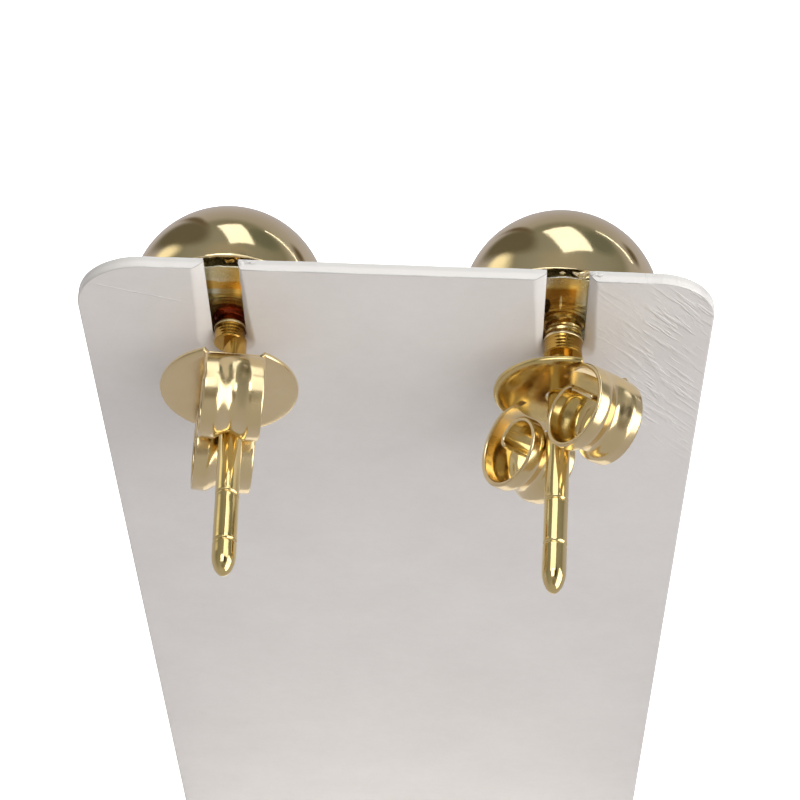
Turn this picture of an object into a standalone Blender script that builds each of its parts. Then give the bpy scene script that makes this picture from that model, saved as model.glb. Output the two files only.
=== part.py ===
"""Two gold dome stud earrings with rolled clutches, held in the slots of a plain white bent stand."""

import math

import bmesh
import bpy
from mathutils import Matrix, Vector

MM = 0.001

# Stand: one sheet of plastic, bent into a leaning card and a flat foot
SHEET_WIDTH = 25.0 * MM
SHEET_THICKNESS = 0.5 * MM
CARD_LENGTH = 53.0 * MM
CARD_LEAN = math.radians(8.0)
FOLD_RADIUS = 0.8 * MM
FOOT_LENGTH = 24.0 * MM
HALF_DEPTH = 11.3518 * MM
CORNER_RADIUS = {"left": 2.9 * MM, "right": 2.3 * MM}
FOOT_CORNER = {"left": 2.5 * MM, "right": 2.5 * MM}

# Slots: middle, half the gap, and how much wider each side is on the back, at the top and low down
SLOT_ACROSS = {"left": -6.66 * MM, "right": 6.725 * MM}
SLOT_HALF = {"left": 0.68 * MM, "right": 0.825 * MM}
SLOT_LIP_LEFT = {"left": (0.41 * MM, 0.54 * MM), "right": (0.43 * MM, 0.20 * MM)}
SLOT_LIP_RIGHT = {"left": (0.12 * MM, 0.34 * MM), "right": (0.28 * MM, 0.42 * MM)}
SLOT_LAND = 0.15 * MM

# Studs: where each post crosses the card, and how it hangs
POST_ACROSS = {"left": -6.401 * MM, "right": 6.651 * MM}
POST_DOWN = {"left": -4.937 * MM, "right": -4.642 * MM}
POST_SWING = {"left": math.radians(2.70), "right": math.radians(-0.65)}
POST_LIFT = {"left": math.radians(4.31), "right": math.radians(-0.83)}
POST_LENGTH = {"left": 12.24 * MM, "right": 12.04 * MM}
PLATE_GAP = 0.58 * MM

# Dome: a hollow half ball on a short skirt, closed by a back plate
DOME_RADIUS = 4.0 * MM
DOME_SKIRT = 0.7 * MM
DOME_WALL = 0.3 * MM
DOME_SHIFT = {"left": -0.35 * MM, "right": -0.08 * MM}
PLATE_RADIUS = 3.3 * MM
SEAM_RADIUS = 3.72 * MM
SEAM_DEPTH = 0.42 * MM
PLATE_THICKNESS = 0.75 * MM
VENT_RADIUS = 0.2 * MM

# Collar at the root of each post
COLLAR_RADIUS = {"left": 0.62 * MM, "right": 0.77 * MM}
COLLAR_SHIFT = {"left": -0.24 * MM, "right": 0.07 * MM}
COLLAR_START = {"left": 0.52 * MM, "right": 0.80 * MM}
COLLAR_END = {"left": 1.30 * MM, "right": 1.57 * MM}
NECK_STEP = 0.1 * MM

# Post: a plain rod with two ring grooves near its tip
POST_RADIUS = 0.465 * MM
GROOVE_DEPTH = 0.05 * MM
GROOVE_HALF = 0.09 * MM
GROOVES = {"left": (8.72 * MM, 10.77 * MM), "right": (8.12 * MM, 10.03 * MM)}
TIP_LENGTH = {"left": 0.9 * MM, "right": 0.95 * MM}
TIP_FULLNESS = {"left": 0.6, "right": 0.72}

# Clutches: a round disc and two arms rolled over towards the post
DISC_RADIUS = 2.74 * MM
DISC_THICKNESS = 0.24 * MM
DISC_HEIGHT = {"left": 3.45 * MM, "right": 3.20 * MM}
DISC_SHIFT = {"left": -0.14 * MM, "right": 0.12 * MM}
HOLE_RADIUS = 0.66 * MM
ARM_WIDTH = {"left": 2.32 * MM, "right": 2.15 * MM}
ARM_THICKNESS = 0.2 * MM
ARM_ROOT = 1.25 * MM
ARM_LIFT = 0.02 * MM
CHORD = 2.3 * MM
CHANNEL_HALF = 0.68 * MM
CHANNEL_DEPTH = 0.30 * MM
CLUTCH_TURN = {"left": math.radians(81.0), "right": math.radians(52.0)}

# Each roll: centre outwards and up, first and last radius, turn, how late it tightens
# and its free end as (length, turn) steps
HOOK = ((0.55 * MM, math.radians(55.0)), (0.45 * MM, math.radians(60.0)))
TONGUE = ((0.28 * MM, math.radians(38.0)), (1.2 * MM, 0.0))
EVEN_ROLL = (1.68 * MM, 1.70 * MM, 1.94 * MM, 1.15 * MM, math.radians(360.0), 1.0, HOOK)
WIDE_ROLL = (1.81 * MM, 1.81 * MM, 2.05 * MM, 1.02 * MM, math.radians(378.0), 0.67, HOOK)
LOW_ROLL = (1.81 * MM, 1.65 * MM, 1.89 * MM, 0.95 * MM, math.radians(362.0), 0.40, TONGUE)
ROLLS = {"left": (EVEN_ROLL, EVEN_ROLL), "right": (LOW_ROLL, WIDE_ROLL)}

SIDES = ("left", "right")
DOME_STEPS = 36
ROD_STEPS = 20
ROLL_STEPS = 21


def clear_scene():
    for item in list(bpy.data.objects):
        bpy.data.objects.remove(item, do_unlink=True)
    for group in list(bpy.data.collections):
        bpy.data.collections.remove(group)


def new_collection(name):
    group = bpy.data.collections.new(name)
    bpy.context.scene.collection.children.link(group)
    return group


def new_material(name, colour, roughness, metallic):
    material = bpy.data.materials.new(name)
    material.use_nodes = True
    shader = material.node_tree.nodes["Principled BSDF"]
    shader.inputs["Base Color"].default_value = (*colour, 1.0)
    shader.inputs["Roughness"].default_value = roughness
    shader.inputs["Metallic"].default_value = metallic
    return material


def new_object(name, points, faces, group):
    mesh = bpy.data.meshes.new(name)
    mesh.from_pydata(points, [], faces)
    shape = bmesh.new()
    shape.from_mesh(mesh)
    bmesh.ops.recalc_face_normals(shape, faces=shape.faces)
    shape.to_mesh(mesh)
    shape.free()
    item = bpy.data.objects.new(name, mesh)
    group.objects.link(item)
    return item


def loft(name, rings, group):
    """A closed body through rings of equal length, capped at both ends."""
    count = len(rings[0])
    points = [point for ring in rings for point in ring]
    faces = [tuple(range(count))]
    for row in range(len(rings) - 1):
        for step in range(count):
            here = row * count + step
            beside = row * count + (step + 1) % count
            faces.append((here, here + count, beside + count, beside))
    last = (len(rings) - 1) * count
    faces.append(tuple(last + step for step in reversed(range(count))))
    return new_object(name, points, faces, group)


def revolved(name, profile, steps, group):
    """A profile of (radius, height) pairs, from the top down its outer side, turned about Z."""
    points = [(radius, 0.0, height) for radius, height in profile]
    edges = [(step, step + 1) for step in range(len(points) - 1)]
    mesh = bpy.data.meshes.new(name)
    mesh.from_pydata(points, edges, [])
    item = bpy.data.objects.new(name, mesh)
    group.objects.link(item)
    screw = item.modifiers.new("Turn", "SCREW")
    screw.axis = "Z"
    screw.angle = math.tau
    screw.steps = steps
    screw.render_steps = steps
    screw.use_merge_vertices = True
    screw.merge_threshold = 0.000001
    return item


def combine(target, other, operation):
    joint = target.modifiers.new(f"{operation.title()} {other.name}", "BOOLEAN")
    joint.operation = operation
    joint.solver = "EXACT"
    joint.object = other


def finish(item, material):
    item.data.materials.append(material)


def bent_profile(half_width):
    """Rings of the bent sheet seen from the side, one at each end of its width."""
    up = Vector((0.0, math.sin(CARD_LEAN), math.cos(CARD_LEAN)))
    back = Vector((0.0, math.cos(CARD_LEAN), -math.sin(CARD_LEAN)))
    outer = FOLD_RADIUS + SHEET_THICKNESS
    centre = Vector((0.0, -HALF_DEPTH, outer))
    sweep = math.pi / 2 + CARD_LEAN
    outline = [centre - back * outer + up * CARD_LENGTH]
    for step in range(9):
        angle = sweep * step / 8
        outline.append(centre + (-back * math.cos(angle) - up * math.sin(angle)) * outer)
    outline.append(centre + Vector((0.0, FOOT_LENGTH, -outer)))
    outline.append(centre + Vector((0.0, FOOT_LENGTH, -FOLD_RADIUS)))
    for step in reversed(range(9)):
        angle = sweep * step / 8
        outline.append(centre + (-back * math.cos(angle) - up * math.sin(angle)) * FOLD_RADIUS)
    outline.append(centre - back * FOLD_RADIUS + up * CARD_LENGTH)
    return [[point + Vector((side * half_width, 0.0, 0.0)) for point in outline] for side in (1, -1)]


def card_frame():
    """Photo right, up the card and out of its back, from the middle of the back's top edge."""
    up = Vector((0.0, math.sin(CARD_LEAN), math.cos(CARD_LEAN)))
    back = Vector((0.0, math.cos(CARD_LEAN), -math.sin(CARD_LEAN)))
    right = up.cross(back)
    fold = Vector((0.0, -HALF_DEPTH, FOLD_RADIUS + SHEET_THICKNESS))
    frame = Matrix((right, up, back)).transposed().to_4x4()
    frame.translation = fold - back * FOLD_RADIUS + up * CARD_LENGTH
    return frame


def rounded_end(length, radii):
    """Outline of a strip as wide as the sheet, with two rounded corners at y = 0."""
    half = SHEET_WIDTH / 2
    outline = [(-half, -length), (half, -length)]
    for side, radius in ((1, radii["right"]), (-1, radii["left"])):
        for step in range(9):
            angle = math.pi / 16 * (step if side > 0 else 8 - step)
            across = half - radius + radius * math.cos(angle)
            outline.append((side * across, -radius + radius * math.sin(angle)))
    return outline


def slot_outline(side, lip):
    """Outline of one slot in the card's frame, round at the bottom and open at the top."""
    across = SLOT_ACROSS[side]
    half = SLOT_HALF[side]
    top_left, low_left = (half + width * lip for width in SLOT_LIP_LEFT[side])
    top_right, low_right = (half + width * lip for width in SLOT_LIP_RIGHT[side])
    outline = [(across + top_right, 1.0 * MM), (across - top_left, 1.0 * MM)]
    for step in range(13):
        angle = math.pi * (1.0 + step / 12)
        width = low_left if step < 6 else low_right
        low = (low_left + low_right) / 2
        outline.append((across + width * math.cos(angle), POST_DOWN[side] + low * math.sin(angle)))
    return outline


def build_stand(group, helpers):
    half = SHEET_WIDTH / 2 + 2.0 * MM
    stand = loft("display_stand", bent_profile(half), group)
    frame = card_frame()
    reach = 40.0 * MM
    outline = rounded_end(CARD_LENGTH + 10.0 * MM, CORNER_RADIUS)
    rings = [[(x, y, z) for x, y in outline] for z in (-reach, reach)]
    front_shape = loft("card_outline", rings, helpers)
    front_shape.matrix_world = frame
    combine(stand, front_shape, "INTERSECT")
    outline = rounded_end(FOOT_LENGTH + 20.0 * MM, FOOT_CORNER)
    end = FOOT_LENGTH - HALF_DEPTH
    rings = [[(x, y + end, z) for x, y in outline] for z in (-5.0 * MM, 80.0 * MM)]
    foot_shape = loft("foot_outline", rings, helpers)
    combine(stand, foot_shape, "INTERSECT")
    for side in SIDES:
        levels = (
            (-SHEET_THICKNESS - 1.0 * MM, 0.0),
            (-SHEET_THICKNESS + SLOT_LAND, 0.0),
            (0.0, 1.0),
            (1.0 * MM, 1.0),
        )
        rings = [[(x, y, z) for x, y in slot_outline(side, lip)] for z, lip in levels]
        cutter = loft(f"{side}_slot_cutter", rings, helpers)
        cutter.matrix_world = frame
        combine(stand, cutter, "DIFFERENCE")
    return stand


def post_frame(side):
    """Origin on the back plate, Z out along the post and Y up the card."""
    axis = Vector((math.tan(POST_SWING[side]), math.tan(POST_LIFT[side]), 1.0)).normalized()
    across = Vector((0.0, 1.0, 0.0)).cross(axis).normalized()
    upward = axis.cross(across)
    middle = Vector((POST_ACROSS[side], POST_DOWN[side], -SHEET_THICKNESS / 2))
    local = Matrix((across, upward, axis)).transposed().to_4x4()
    local.translation = middle - axis * (PLATE_GAP + SHEET_THICKNESS / 2)
    return card_frame() @ local


def dome_profile():
    profile = [
        (0.0, 0.0),
        (PLATE_RADIUS - 0.05 * MM, 0.0),
        (PLATE_RADIUS, -0.05 * MM),
        (PLATE_RADIUS + 0.04 * MM, -SEAM_DEPTH),
        (SEAM_RADIUS - 0.04 * MM, -SEAM_DEPTH),
        (SEAM_RADIUS, -0.06 * MM),
        (SEAM_RADIUS + 0.07 * MM, 0.0),
        (DOME_RADIUS - 0.07 * MM, 0.0),
        (DOME_RADIUS, -0.07 * MM),
    ]
    for step in range(12):
        angle = math.pi / 2 * step / 12
        profile.append((DOME_RADIUS * math.cos(angle), -DOME_SKIRT - DOME_RADIUS * math.sin(angle)))
    profile.append((0.0, -DOME_SKIRT - DOME_RADIUS))
    return profile


def cavity_profile():
    inside = DOME_RADIUS - DOME_WALL
    profile = [
        (0.0, -PLATE_THICKNESS),
        (inside - 0.3 * MM, -PLATE_THICKNESS),
        (inside, -DOME_SKIRT - 0.2 * MM),
    ]
    for step in range(1, 7):
        angle = math.pi / 2 * step / 7
        profile.append((inside * math.cos(angle), -DOME_SKIRT - inside * math.sin(angle)))
    profile.append((0.0, -DOME_SKIRT - inside))
    return profile


def collar_profile(side):
    radius = COLLAR_RADIUS[side]
    neck = radius - NECK_STEP
    start = COLLAR_START[side]
    end = COLLAR_END[side]
    return [
        (0.0, end),
        (radius - 0.06 * MM, end),
        (radius, end - 0.06 * MM),
        (radius, start + 0.05 * MM),
        (neck, start - 0.05 * MM),
        (neck, 0.16 * MM),
        (neck + 0.08 * MM, 0.05 * MM),
        (neck + 0.22 * MM, -0.02 * MM),
        (neck + 0.22 * MM, -0.3 * MM),
        (0.0, -0.3 * MM),
    ]


def post_profile(side):
    end = POST_LENGTH[side]
    profile = [(0.0, end)]
    for step in range(1, 7):
        depth = (step / 6) ** 1.6
        radius = POST_RADIUS * (1.0 - (1.0 - depth) ** 2) ** TIP_FULLNESS[side]
        profile.append((radius, end - TIP_LENGTH[side] * depth))
    for height in reversed(GROOVES[side]):
        profile.append((POST_RADIUS, height + GROOVE_HALF))
        profile.append((POST_RADIUS - GROOVE_DEPTH, height + GROOVE_HALF / 3))
        profile.append((POST_RADIUS - GROOVE_DEPTH, height - GROOVE_HALF / 3))
        profile.append((POST_RADIUS, height - GROOVE_HALF))
    root = COLLAR_END[side] - 0.1 * MM
    profile.append((POST_RADIUS, root))
    profile.append((0.0, root))
    return profile


def build_stud(side, group, helpers):
    frame = post_frame(side)
    shift = Matrix.Translation((DOME_SHIFT[side], 0.0, 0.0))
    stud = revolved(f"{side}_stud", dome_profile(), DOME_STEPS, group)
    stud.matrix_world = frame @ shift
    cavity = revolved(f"{side}_cavity", cavity_profile(), DOME_STEPS, helpers)
    cavity.matrix_world = frame @ shift
    combine(stud, cavity, "DIFFERENCE")
    vent = revolved(
        f"{side}_vent",
        [(0.0, 0.5 * MM), (VENT_RADIUS, 0.5 * MM), (VENT_RADIUS, -1.4 * MM), (0.0, -1.4 * MM)],
        12,
        helpers,
    )
    vent.matrix_world = frame @ shift @ Matrix.Translation((0.0, -2.2 * MM, 0.0))
    combine(stud, vent, "DIFFERENCE")
    collar = revolved(f"{side}_collar", collar_profile(side), ROD_STEPS, helpers)
    collar.matrix_world = frame @ Matrix.Translation((COLLAR_SHIFT[side], 0.0, 0.0))
    combine(stud, collar, "UNION")
    post = revolved(f"{side}_post", post_profile(side), ROD_STEPS, helpers)
    post.matrix_world = frame @ Matrix.Rotation(math.pi / ROD_STEPS, 4, "Z")
    combine(stud, post, "UNION")
    return stud


def disc_outline(width):
    """Circle with a flat under each arm, where the sheet turns up."""
    half = width / 2
    edge = math.asin(half / DISC_RADIUS)
    outline = []
    for side in (1, -1):
        outline.append((side * CHORD, -side * half))
        outline.append((side * CHORD, side * half))
        for step in range(17):
            angle = edge + (math.pi - 2 * edge) * step / 16
            across = side * DISC_RADIUS * math.cos(angle)
            outline.append((across, side * DISC_RADIUS * math.sin(angle)))
    return outline


def arm_ring(place, heading, outward, width, depth):
    """Cross-section of the strip; its channel is pressed towards the roll's centre."""
    half = width / 2
    inner = (0.22 * MM, 0.44 * MM, CHANNEL_HALF + 0.02 * MM)
    widths = (-half, *(-w for w in reversed(inner)), 0.0, *inner, half)
    ring = []
    for skin, order in ((0.0, widths), (ARM_THICKNESS, widths[::-1])):
        for across in order:
            press = skin
            if abs(across) < CHANNEL_HALF:
                press += depth * 0.5 * (1.0 + math.cos(math.pi * across / CHANNEL_HALF))
            out = place[0] - math.sin(heading) * press
            up = place[1] + math.cos(heading) * press
            ring.append((outward * out, outward * across, up))
    return ring


def arm_path(roll):
    """Places and headings along the strip's outer side: out of the disc, up, over and in."""
    centre_out, centre_up, first, last, turn, late, free_end = roll
    centre_up += DISC_THICKNESS + ARM_LIFT
    path = [((ARM_ROOT, centre_up - first), 0.0, 0.0)]
    for step in range(ROLL_STEPS + 1):
        share = step / ROLL_STEPS
        angle = turn * share
        radius = last + (first - last) * (1.0 - share) ** late
        fade = min(max((share - 0.10) / 0.14, 0.0), 1.0) * min((1.0 - share) / 0.12, 1.0)
        place = (centre_out + radius * math.sin(angle), centre_up - radius * math.cos(angle))
        path.append((place, angle, CHANNEL_DEPTH * fade * fade * (3.0 - 2.0 * fade)))
    for length, bend in free_end:
        (out, up), heading, _ = path[-1]
        heading += bend / 2
        place = (out + length * math.cos(heading), up + length * math.sin(heading))
        path.append((place, heading + bend / 2, 0.0))
    return path


def build_clutch(side, group, helpers):
    frame = post_frame(side) @ Matrix.Translation((0.0, 0.0, DISC_HEIGHT[side]))
    aside = frame @ Matrix.Translation((DISC_SHIFT[side], 0.0, 0.0))
    aside = aside @ Matrix.Rotation(CLUTCH_TURN[side], 4, "Z")
    to_axis = frame.inverted() @ aside
    rings = []
    for height in (0.0, DISC_THICKNESS):
        outline = disc_outline(ARM_WIDTH[side])
        rings.append([to_axis @ Vector((x, y, height)) for x, y in outline])
    clutch = loft(f"{side}_clutch", rings, group)
    clutch.matrix_world = frame
    for index, roll in enumerate(ROLLS[side]):
        outward = 1.0 if index == 0 else -1.0
        rings = [arm_ring(*step[:2], outward, ARM_WIDTH[side], step[2]) for step in arm_path(roll)]
        arm = loft(f"{side}_arm_{index + 1}", rings, helpers)
        arm.matrix_world = aside
        combine(clutch, arm, "UNION")
    hole = revolved(
        f"{side}_hole",
        [(0.0, 1.0 * MM), (HOLE_RADIUS, 1.0 * MM), (HOLE_RADIUS, -1.0 * MM), (0.0, -1.0 * MM)],
        ROD_STEPS,
        helpers,
    )
    hole.matrix_world = aside
    combine(clutch, hole, "DIFFERENCE")
    return clutch


def main():
    clear_scene()
    earrings = new_collection("stud_earrings_on_stand")
    helpers = new_collection("helpers")
    plastic = new_material("white_plastic", (0.80, 0.78, 0.77), 0.42, 0.0)
    gold = new_material("polished_gold", (0.80, 0.60, 0.30), 0.12, 1.0)
    pale_gold = new_material("clutch_gold", (0.88, 0.72, 0.42), 0.18, 1.0)
    finish(build_stand(earrings, helpers), plastic)
    for side in SIDES:
        finish(build_stud(side, earrings, helpers), gold)
        finish(build_clutch(side, earrings, helpers), pale_gold)
    for item in helpers.objects:
        item.hide_render = True
        item.display_type = "WIRE"


main()
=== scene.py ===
"""Looks for the pair of gold dome studs on a white bent stand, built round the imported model."""

import math

import bmesh
import bpy
import numpy as np
from mathutils import Matrix, Vector


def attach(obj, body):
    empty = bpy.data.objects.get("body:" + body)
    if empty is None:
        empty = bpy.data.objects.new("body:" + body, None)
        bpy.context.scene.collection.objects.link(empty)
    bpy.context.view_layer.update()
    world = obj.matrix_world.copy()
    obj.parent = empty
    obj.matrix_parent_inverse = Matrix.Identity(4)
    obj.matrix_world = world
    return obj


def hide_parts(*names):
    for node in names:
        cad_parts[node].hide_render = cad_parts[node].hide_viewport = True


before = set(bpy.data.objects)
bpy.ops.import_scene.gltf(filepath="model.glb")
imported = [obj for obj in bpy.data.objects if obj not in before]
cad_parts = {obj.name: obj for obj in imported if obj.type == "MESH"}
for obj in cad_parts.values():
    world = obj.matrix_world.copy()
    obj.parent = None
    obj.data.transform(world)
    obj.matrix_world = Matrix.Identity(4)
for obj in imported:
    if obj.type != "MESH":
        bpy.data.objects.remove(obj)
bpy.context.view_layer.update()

MM = 0.001

# Stand, as the solid model has it
SHEET_WIDTH = 25.0
SHEET_THICKNESS = 0.5
CARD_LENGTH = 53.0
CARD_LEAN = math.radians(8.0)
FOLD_RADIUS = 0.8
FOOT_LENGTH = 24.0
HALF_DEPTH = 11.3518
CORNER_RADIUS = {"left": 2.9, "right": 2.3}
FOOT_CORNER = 2.5
SLOT_ACROSS = {"left": -6.66, "right": 6.725}
SLOT_HALF = {"left": 0.68, "right": 0.825}
SLOT_LIP_LEFT = {"left": (0.41, 0.54), "right": (0.43, 0.20)}
SLOT_LIP_RIGHT = {"left": (0.12, 0.34), "right": (0.28, 0.42)}

# Studs
POST_ACROSS = {"left": -6.401, "right": 6.651}
POST_DOWN = {"left": -4.937, "right": -4.642}
POST_SWING = {"left": math.radians(2.70), "right": math.radians(-0.65)}
POST_LIFT = {"left": math.radians(4.31), "right": math.radians(-0.83)}
POST_LENGTH = {"left": 12.24, "right": 12.04}
PLATE_GAP = 0.58
DOME_RADIUS = 4.0
DOME_SKIRT = 0.7
DOME_SHIFT = {"left": -0.35, "right": -0.08}
PLATE_RINGS = {"left": ((1.42, 0.035), (1.0, 0.02)), "right": ((1.05, 0.045), (1.25, 0.02), (1.55, 0.02))}
SEAM_DROPS = {
    "left": (((0.30, 3.50, -0.14), (0.20, 0.10, 0.09)), ((0.62, 3.66, -0.16), (0.14, 0.12, 0.10))),
    "right": (((0.86, 3.55, -0.12), (0.48, 0.24, 0.22)), ((-0.05, 3.46, -0.16), (0.13, 0.08, 0.08))),
}
SKIRT_DRAW = {"left": 0.062, "right": 0.015}
DOME_DENT = {"left": (-0.05, 1.0, (0.5, 3.9, -1.2)), "right": (0.05, 1.15, (0.15, 3.96, -1.15))}
PLATE_RADIUS = 3.3
RIM_RADIUS = 3.90
SEAM_DEPTH = 0.42
COLLAR_RADIUS = {"left": 0.62, "right": 0.77}
COLLAR_SHIFT = {"left": -0.24, "right": 0.07}
COLLAR_START = {"left": 0.52, "right": 0.80}
COLLAR_END = {"left": 1.30, "right": 1.57}
POST_RADIUS = 0.465
GROOVES = {"left": (8.72, 10.77), "right": (8.12, 10.03)}
TIP_LENGTH = {"left": 0.9, "right": 0.95}
TIP_FULLNESS = {"left": 0.5, "right": 0.52}
DOME_STEPS = 224
COLLAR_STEPS = 96
POST_STEPS = 72
# How far up the post the collar's deep tone runs: painted reflection of the amber clutch arms
COLLAR_SHADE_LENGTH = 0.96
SEAM_PLACE = 3.55
NECK_RINGS = {"left": (), "right": (0.52, 0.36)}
GROOVE_TILT = {"left": (0.10, 0.05), "right": (0.035, 0.03)}
GROOVE_TURN = {"left": (2.6, 0.4), "right": (0.9, 2.2)}

# Places in a stud's and in a clutch's list of materials
POLISHED, SOLDER, SATIN, NECK, COLLAR, POST, PLATE = range(7)
CLUTCH, ROLL = range(2)

# Clutches
DISC_RADIUS = 2.74
DISC_THICKNESS = 0.24
DISC_HEIGHT = {"left": 3.45, "right": 3.20}
DISC_SHIFT = {"left": -0.14, "right": 0.12}
HOLE_RADIUS = 0.66
ARM_WIDTH = {"left": 2.32, "right": 2.15}
ARM_THICKNESS = 0.2
ARM_ROOT = 1.25
ARM_LIFT = 0.02
CHORD = 2.3
CHANNEL_HALF = 0.68
CHANNEL_DEPTH = 0.30
CLUTCH_TURN = {"left": math.radians(81.0), "right": math.radians(52.0)}
HOOK = ((0.55, math.radians(55.0)), (0.45, math.radians(60.0)))
TONGUE = ((0.28, math.radians(38.0)), (1.2, 0.0))
# Roll: centre out and up, first and last radius, turn, how late it tightens, and its free end
EVEN_ROLL = (1.68, 1.70, 1.94, 1.15, math.radians(360.0), 1.0, HOOK)
WIDE_ROLL = (1.81, 1.81, 2.05, 1.02, math.radians(378.0), 0.67, HOOK)
LOW_ROLL = (1.81, 1.65, 1.89, 0.95, math.radians(362.0), 0.40, TONGUE)
ROLLS = {"left": (EVEN_ROLL, EVEN_ROLL), "right": (LOW_ROLL, WIDE_ROLL)}
DISC_STEPS = 240
ROLL_STEPS = 150
FACE_STEPS = 45
EDGE_STEPS = 5


# Frames: the card's frame and each post's frame, in millimetres

def card_frame():
    up = Vector((0.0, math.sin(CARD_LEAN), math.cos(CARD_LEAN)))
    back = Vector((0.0, math.cos(CARD_LEAN), -math.sin(CARD_LEAN)))
    fold = Vector((0.0, -HALF_DEPTH, FOLD_RADIUS + SHEET_THICKNESS))
    placed = Matrix((up.cross(back), up, back)).transposed().to_4x4()
    placed.translation = fold - back * FOLD_RADIUS + up * CARD_LENGTH
    return placed


def post_frame(side):
    axis = Vector((math.tan(POST_SWING[side]), math.tan(POST_LIFT[side]), 1.0)).normalized()
    across = Vector((0.0, 1.0, 0.0)).cross(axis).normalized()
    local = Matrix((across, axis.cross(across), axis)).transposed().to_4x4()
    middle = Vector((POST_ACROSS[side], POST_DOWN[side], -SHEET_THICKNESS / 2))
    local.translation = middle - axis * (PLATE_GAP + SHEET_THICKNESS / 2)
    return card_frame() @ local


def in_metres(points, placed):
    turn = np.array(placed)[:3, :3]
    start = np.array(placed)[:3, 3]
    return (np.asarray(points, float) @ turn.T + start) * MM


# Mesh helpers

def grid_faces(rows, columns, flip=False):
    """Faces between neighbouring rows of points, where each row is a closed loop."""
    faces = []
    for row in range(rows - 1):
        for step in range(columns):
            here = row * columns + step
            beside = row * columns + (step + 1) % columns
            face = (here, here + columns, beside + columns, beside)
            faces.append(face[::-1] if flip else face)
    return faces


class Shell:
    """Collects several skins, each with its place, into one mesh."""

    def __init__(self):
        self.points = []
        self.faces = []
        self.kinds = []

    def add(self, placed, points, faces, kinds):
        first = len(self.points)
        self.points.extend(tuple(point) for point in in_metres(points, placed))
        self.faces.extend(tuple(first + index for index in face) for face in faces)
        self.kinds.extend([kinds] * len(faces) if isinstance(kinds, int) else kinds)

    def build(self, name, body, node, materials):
        """The piece that is seen in place of one node of the solid model."""
        mesh = bpy.data.meshes.new(name)
        mesh.from_pydata(self.points, [], self.faces)
        for material in materials:
            mesh.materials.append(material)
        mesh.shade_smooth()
        mesh.polygons.foreach_set("material_index", self.kinds)
        merged = bmesh.new()
        merged.from_mesh(mesh)
        bmesh.ops.remove_doubles(merged, verts=merged.verts, dist=2e-8)
        merged.to_mesh(mesh)
        merged.free()
        mesh.update()
        piece = bpy.data.objects.new(name, mesh)
        bpy.context.scene.collection.objects.link(piece)
        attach(piece, body)
        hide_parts(node)
        return piece


def fillet(profile, radius, steps):
    """The profile with its sharp corners rounded and a close line kept beside each."""
    profile = [np.array(point, float) for point in profile]
    out = [profile[0]]
    for before, here, after in zip(profile, profile[1:], profile[2:]):
        into = here - before
        away = after - here
        into_length = np.hypot(*into)
        away_length = np.hypot(*away)
        into = into / into_length
        away = away / away_length
        turn = math.acos(max(-1.0, min(1.0, float(into @ away))))
        if turn < math.radians(14.0):
            out.append(here)
            continue
        reach = min(radius * math.tan(turn / 2), 0.36 * into_length, 0.36 * away_length)
        start = here - into * reach
        end = here + away * reach
        out.append(start - into * 0.3 * reach)
        for step in range(steps + 1):
            share = step / steps
            out.append((1 - share) ** 2 * start + 2 * share * (1 - share) * here + share ** 2 * end)
        out.append(end + away * 0.3 * reach)
    out.append(profile[-1])
    return out


def revolve(profile, steps, shape):
    """Points and faces of a profile of (radius, height) turned about Z, faces out from top down."""
    points = []
    for radius, height in profile:
        for step in range(steps):
            angle = math.tau * step / steps
            out, up = shape(radius, height, angle)
            points.append((out * math.cos(angle), out * math.sin(angle), up))
    return points, grid_faces(len(profile), steps)


def smooth_step(value, low, high):
    share = max(0.0, min(1.0, (value - low) / (high - low)))
    return share * share * (3.0 - 2.0 * share)


def bell(value, middle, spread):
    """1 where value is at the middle, falling smoothly to 0 on both sides."""
    return math.exp(-(((value - middle) / spread) ** 2))


def quarter(steps):
    """(1 - sine, 1 - cosine) of a quarter turn in even steps, with both ends."""
    angles = [math.pi / 2 * step / steps for step in range(steps + 1)]
    return [(1 - math.sin(angle), 1 - math.cos(angle)) for angle in angles]


# Stand

def card_place(across, row, depth):
    """Card-frame point of the bent sheet: a row is ("card", y), ("fold", angle) or ("foot", reach)."""
    kind, value = row
    reach = FOLD_RADIUS - depth
    if kind == "card":
        return across, value, depth
    if kind == "fold":
        return across, -CARD_LENGTH - math.sin(value) * reach, FOLD_RADIUS - math.cos(value) * reach
    end = math.pi / 2 + CARD_LEAN
    down = -CARD_LENGTH - math.sin(end) * reach
    back = FOLD_RADIUS - math.cos(end) * reach
    return across, down - math.cos(end) * value, back + math.sin(end) * value


def slot_edge(side, lip, inset):
    """One slot's edge in the card's frame, down its right wall and up its left one."""
    middle = SLOT_ACROSS[side]
    half = SLOT_HALF[side] + inset
    right = [half + width * lip for width in SLOT_LIP_RIGHT[side]]
    left = [half + width * lip for width in SLOT_LIP_LEFT[side]]
    bottom = POST_DOWN[side]

    def wall(outward, widths, wave, rate, phase):
        points = []
        for step in range(13):
            share = step / 12
            width = widths[0] + (widths[1] - widths[0]) * share ** 1.4
            width += wave * lip * math.sin(rate * share + phase)
            points.append((middle + outward * width, -inset + (bottom + inset) * share))
        return points

    edge = wall(1.0, right, 0.008, 9.0, 2.0 * middle)
    for step in range(1, 24):
        angle = math.pi * step / 24
        width = right[1] + (left[1] - right[1]) * (0.5 - 0.5 * math.cos(angle))
        edge.append((middle + width * math.cos(angle), bottom - width * math.sin(angle)))
    return edge + wall(-1.0, left, 0.01, 8.0, middle)[::-1]


def top_edge(start, end, count, inset):
    """Points along the card's top edge, which was cut a little unevenly."""
    edge = []
    for step in range(1, count):
        across = start + (end - start) * step / count
        wave = 0.012 * math.sin(1.7 * across + 0.6) + 0.008 * math.sin(4.3 * across)
        edge.append((across, wave - inset))
    return edge


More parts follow.
